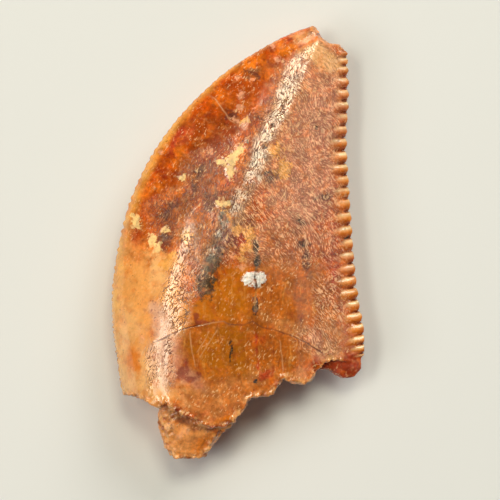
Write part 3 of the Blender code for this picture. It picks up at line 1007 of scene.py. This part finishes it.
def field(name):
    """One of the fields that are stored on the skin."""
    return add(tree, "ShaderNodeAttribute", {"attribute_name": name}).outputs["Fac"]


object_place = add(tree, "ShaderNodeTexCoord").outputs["Object"]
point = add(tree, "ShaderNodeMapping", Vector=object_place, Scale=(1 / MM,) * 3).outputs[0]


def speckle(scale, detail, seed):
    """Noise over the skin in millimetres, from 0 to 1."""
    return cloud(tree, point, scale, detail, seed)[0]


def patches(scale, detail, seed, start, end, *range_out):
    """The places where that noise is past a value."""
    return ramp(tree, speckle(scale, detail, seed), start, end, *range_out)


def ragged_stain(name, grain_size, raggedness, softness=0.35):
    """The mask of a stored field with a torn border."""
    values = {"Field": field(name), "Point": point, "Grain": grain_size}
    return place_group(tree, tearing, **values, Raggedness=raggedness, Softness=softness)["Mask"]


def lay(name, mask, share=1.0):
    """Lays a pigment over the colour so far."""
    return blend(tree, times(tree, mask, share), colour, screen(*PIGMENTS[name]))


colour = screen(*PIGMENTS["ground"])
colour = lay("ground light", patches(2.2, 5.0, 0.0, 0.38, 0.64))
colour = lay("ground dark", patches(3.1, 4.0, 3.0, 0.5, 0.66), 0.85)
colour = lay("ground dark", patches(8.0, 4.0, 61.0, 0.54, 0.66), 0.55)
calm = 0.0
for name, (share, *edge) in ZONE_EDGES.items():
    zone = ragged_stain(name, ZONE_GRAIN, *edge)
    colour = lay(name, zone, share)
    if name in CALM_ZONES:
        calm = calc(tree, "MAXIMUM", calm, times(tree, zone, CALM_ZONES[name]))
colour = lay("crest_band", field("crest_band"), 0.8)
pale_and_sheen_here = field("pale_and_sheen")
# A pale patch, partly its own pale colour and partly a painted sheen, with purple specks in it.
colour = lay("pale_and_sheen", times(tree, pale_and_sheen_here, patches(6.0, 4.0, 27.0, 0.36, 0.6)), 0.7)
colour = lay("plum", times(tree, pale_and_sheen_here, patches(19.0, 2.0, 29.0, 0.57, 0.66)), 0.6)
# Painted glow along the thin left edge.
colour = lay("rim", field("rim"), 0.9)
colour = lay("broken", field("broken"), 0.8)
for name, (share, *edge) in BREAK_EDGES.items():
    colour = lay(name, ragged_stain(name, BREAK_GRAIN, *edge), share)
colour = lay("corner", field("corner"), 0.95)
colour = lay("scar", ragged_stain("scar", *SCAR_EDGE))
colour = lay("lip pale", times(tree, field("lip"), patches(7.0, 3.0, 31.0, 0.46, 0.58)), 0.8)
colour = lay("lip dark", times(tree, field("lip"), patches(5.0, 3.0, 33.0, 0.5, 0.38)), 0.8)
for name, share in (("bars", 0.6), ("rim", 0.8)):
    calm = calc(tree, "MAXIMUM", calm, times(tree, field(name), share))
colour = lay("bar_root", field("bar_root"), 0.55)
colour = lay("bars", field("bars"), 0.85)
colour = lay("pink bar", times(tree, field("bars"), patches(1.7, 1.0, 25.0, 0.5, 0.62)), 0.6)
# Painted shade and painted highlight on each bar, then its dark groove.
for name, share in (("bar_low_shade", 0.9), ("bar_top_highlight", 0.95), ("groove", 1.0)):
    colour = lay(name, field(name), share)
print("Pigments:", len(PIGMENTS))

# %% The small stains
# Share, grain, raggedness and softness
STAIN_EDGES = {
    "haze": (0.8, 11.0, 1.8, 0.36), "pink": (0.75, 16.0, 2.2, 0.2), "plum": (0.7, 9.0, 1.6, 0.32),
    "rust": (0.75, 9.0, 1.1, 0.3), "yellow": (0.9, 12.0, 1.8, 0.14),
    "worn": (0.95, 15.0, 2.0, 0.14), "crust": (1.0, 16.0, 1.3, 0.1), "smoke": (0.97, 13.0, 1.8, 0.24),
    "spots": (1.0, 24.0, 1.2, 0.16),
}
masks = {}
for name, (share, *edge) in STAIN_EDGES.items():
    masks[name] = ragged_stain(name, *edge)
    colour = lay(name, masks[name], share)
print("Small stains:", ", ".join(STAIN_EDGES))

# %% [markdown]
# The fine grain is painted as well as carved: the rounded strands of the braid are laid pale, partly wear
# and partly a painted glint, and the furrows between them dark, partly iron and partly painted shade.
# Dentine has no braid, only faint streaks along the tooth. Sugary light and dark grains go over everything,
# and short pale flecks that all slant one way, which are painted glints.

# %% The grain of the enamel
STEEP_STRANDS = math.radians(74)
LEANING_STRANDS = math.radians(-48)
STRAND = {"Length": 0.19, "Width": 0.04, "Line": 0.03}
COARSE_STRAND = {"Length": 0.13, "Width": 0.064, "Line": 0.034}
FURROW_IRON_AND_SHADE_SHARE = (0.95, 0.55)
WEAR_AND_GLINT_SHARE = (0.2, 0.6)
WARM_GRAINS = (("ground light", 5.5, 41.0, 0.35), ("red", 7.0, 43.0, 0.22), ("pale", 9.0, 47.0, 0.15))
STREAK_STRETCH = (12.0, 1.1, 12.0)
GLINT_LEAN = math.radians(58)
GLINT_STRETCH = (11.0, 24.0, 18.0)
GREY_GRAINS = ((4.0, 0.0, 0.74, 1.2), (16.0, 5.0, 0.82, 1.16))


def between(share, first, second):
    """Two numbers mixed."""
    node = add(tree, "ShaderNodeMix", {"data_type": "FLOAT"})
    for place, value in enumerate((share, first, second)):
        feed(tree, node.inputs[(0, 2, 3)[place]], value)
    return node.outputs[0]


steep = place_group(tree, braiding, Point=point, Direction=STEEP_STRANDS, **STRAND)
coarse = place_group(tree, braiding, Point=point, Direction=STEEP_STRANDS, **COARSE_STRAND)
leaning = place_group(tree, braiding, Point=point, Direction=LEANING_STRANDS, **STRAND)
right_side = field("right_side")
coarse_here = field("coarse_braid")
braid = {}
for name in ("Height", "Furrow", "Wear_and_glint"):
    braid[name] = between(coarse_here, between(right_side, steep[name], leaning[name]), coarse[name])
braided_here = field("braided")
furrow_iron_and_shade_share = times(tree, braided_here, between(right_side, *FURROW_IRON_AND_SHADE_SHARE))
# Painted shade in the furrows, partly dark iron; painted glint on the strands, partly wear.
colour = lay("furrow_iron_and_shade", times(tree, braid["Furrow"], furrow_iron_and_shade_share))
wear_and_glint_share = times(tree, braided_here, between(right_side, *WEAR_AND_GLINT_SHARE))
colour = lay("strand_wear_and_glint", times(tree, braid["Wear_and_glint"], wear_and_glint_share))
for name, scale, seed, share in WARM_GRAINS:
    colour = lay(name, patches(scale, 4.0, seed, 0.52, 0.66), share)
waver = vector_calc(tree, "MULTIPLY", cloud(tree, point, 2.2, 2.0, 51.0)["Color"], (0.25, 0.25, 0.25))
waved = vector_calc(tree, "ADD", point, waver)
streak_point = add(tree, "ShaderNodeMapping", Vector=waved, Scale=STREAK_STRETCH).outputs[0]
streaks = cloud(tree, streak_point, 1.0, 3.0)[0]
colour = lay("streak", times(tree, ramp(tree, streaks, 0.56, 0.7), field("streaks")), 0.55)
colour = lay("pit", times(tree, ramp(tree, streaks, 0.44, 0.3), field("streaks")), 0.4)
for scale, seed, darkest, lightest in GREY_GRAINS:
    grey = patches(scale, 3.0, seed, 0.32, 0.68, darkest, lightest)
    grey = between(calm, grey, 1.0)
    grey = add(tree, "ShaderNodeCombineColor", Red=grey, Green=grey, Blue=grey).outputs[0]
    colour = blend(tree, 1.0, colour, grey, "MULTIPLY")
clusters = times(tree, patches(2.6, 2.0, 12.0, 0.42, 0.6), between(calm, 1.0, 0.2))
# Painted glints: short pale flecks that all slant one way.
turned = add(tree, "ShaderNodeVectorRotate", {"rotation_type": "Z_AXIS"}, Vector=point, Angle=-GLINT_LEAN)
glint_place = vector_calc(tree, "MULTIPLY", turned.outputs[0], GLINT_STRETCH)
glint_marks = ramp(tree, cloud(tree, glint_place, 1.0, 2.0, 14.0)[0], 0.57, 0.66)
colour = lay("painted_glint", times(tree, glint_marks, clusters), 0.65)
colour = lay("pit", patches(15.0, 2.0, 16.0, 0.36, 0.27), 0.5)
colour = lay("crack", field("crack"), 0.9)
# Pale scratches, and a painted highlight on the main crack's edge.
colour = lay("pale_scratch_and_glint", field("pale_scratch_and_glint"), 0.85)
feed(tree, shader.inputs["Base Color"], colour)
print("Nodes so far:", len(tree.nodes))

# %% Gloss and fine relief
BRAID_HEIGHT = 0.004
GRIT_HEIGHT = 0.0007
STREAK_HEIGHT = 0.001
GLASSY_IOR = 1.68
CLEAN_ROUGHNESS = (0.11, 0.17)
ADDED_ROUGHNESS = {
    "crust": 0.5, "scar": 0.12, "furrow_iron_and_shade": 0.45, "broken": 0.2, "pale_and_sheen": 0.08, "quiet": -0.03, "worn": 0.35,
    "smoke": 0.12, "spots": 0.3,
}

quiet_here = field("quiet")
dulled = {
    **masks, "scar": field("scar"), "furrow_iron_and_shade": times(tree, braid["Furrow"], braided_here),
    "broken": field("broken"), "pale_and_sheen": pale_and_sheen_here, "quiet": quiet_here,
}
roughness = patches(7.0, 3.0, 8.0, 0.3, 0.7, *CLEAN_ROUGHNESS)
for name, amount in ADDED_ROUGHNESS.items():
    roughness = calc(tree, "ADD", roughness, times(tree, dulled[name], amount))
feed(tree, shader.inputs["Roughness"], roughness)

raised_here = times(tree, between(quiet_here, 1.0, 0.2), between(masks["smoke"], 1.0, 0.2))
heights = (
    (BRAID_HEIGHT, times(tree, braid["Height"], times(tree, raised_here, braided_here))),
    (STREAK_HEIGHT, times(tree, streaks, field("streaks"))),
    (GRIT_HEIGHT, times(tree, speckle(15.0, 3.0, 9.0), between(pale_and_sheen_here, 1.0, 4.0))),
)
below = None
for distance, height in heights:
    bump = add(tree, "ShaderNodeBump", Distance=distance * MM, Height=height)
    if below is not None:
        feed(tree, bump.inputs["Normal"], below)
    below = bump.outputs[0]
feed(tree, shader.inputs["Normal"], below)
shader.inputs["IOR"].default_value = GLASSY_IOR
tooth.data.materials.clear()
tooth.data.materials.append(enamel)
print("Nodes in the enamel:", len(tree.nodes))

# %% [markdown]
# ## The table and the light
#
# The tooth lies on a plain pale table. The small key lamp stands almost straight above, a little towards
# the tip, where only the crest mirrors it. The broader window lamp is mirrored by the swollen lower left.
# A soft lamp far beyond the tip gives each denticle its bright upper side. A broad fill lamp low on the
# left and a weak one on the right keep the flanks from going dark.

# %% The table
FLOOR_SIZE = 400.0
CARD_COLOUR = (230, 231, 236)
CARD_ROUGHNESS = 0.8

flat = bmesh.new()
bmesh.ops.create_grid(flat, x_segments=1, y_segments=1, size=FLOOR_SIZE / 2 * MM)
floor = object_of("floor", flat)
card = bpy.data.materials.new("Pale card")
card.use_nodes = True
card_inputs = card.node_tree.nodes["Principled BSDF"].inputs
card_inputs["Base Color"].default_value = screen(*CARD_COLOUR)
card_inputs["Roughness"].default_value = CARD_ROUGHNESS
floor.data.materials.append(card)
print("The table is", FLOOR_SIZE, "mm wide")

# %% The light
# Tilt from straight above towards +X and +Y in degrees, distance and sides in mm, strength, colour
LAMPS = {
    "key": ((4.5, 23.0), 165, (54, 40), 10.1, (1.0, 0.97, 0.72)),
    "window": ((-23, 8.5), 170, (82, 34), 7.6, (1.0, 0.97, 0.78)),
    "top": ((34, 50), 190, (110, 90), 4.3, (1.0, 0.95, 0.84)),
    "fill": ((-48, -14), 190, (110, 90), 2.3, (1.0, 0.96, 0.86)),
    "right": ((44, 5), 195, (56, 80), 0.5, (1.0, 0.97, 0.94)),
}
WATTS_PER_RADIANCE = 4.0
ROOM_COLOUR = (0.97, 0.97, 1.0, 1.0)
ROOM_STRENGTH = 0.04

for name, (tilts, distance, sides, radiance, tint) in LAMPS.items():
    light = bpy.data.lights.new(name, "AREA")
    light.shape = "RECTANGLE"
    light.size, light.size_y = (side * MM for side in sides)
    light.energy = WATTS_PER_RADIANCE * radiance * light.size * light.size_y
    light.color = tint
    stand = bpy.data.objects.new(name, light)
    towards = Vector([math.tan(math.radians(tilt)) for tilt in tilts] + [1.0]).normalized()
    stand.location = towards * distance * MM
    stand.rotation_euler = towards.to_track_quat("Z", "Y").to_euler()
    stand.visible_camera = False
    scene.collection.objects.link(stand)

world = bpy.data.worlds.new("Soft room")
world.use_nodes = True
room_inputs = world.node_tree.nodes["Background"].inputs
room_inputs["Color"].default_value = ROOM_COLOUR
room_inputs["Strength"].default_value = ROOM_STRENGTH
scene.world = world
scene.view_settings.view_transform = "Standard"
print("Lamps:", ", ".join(LAMPS))
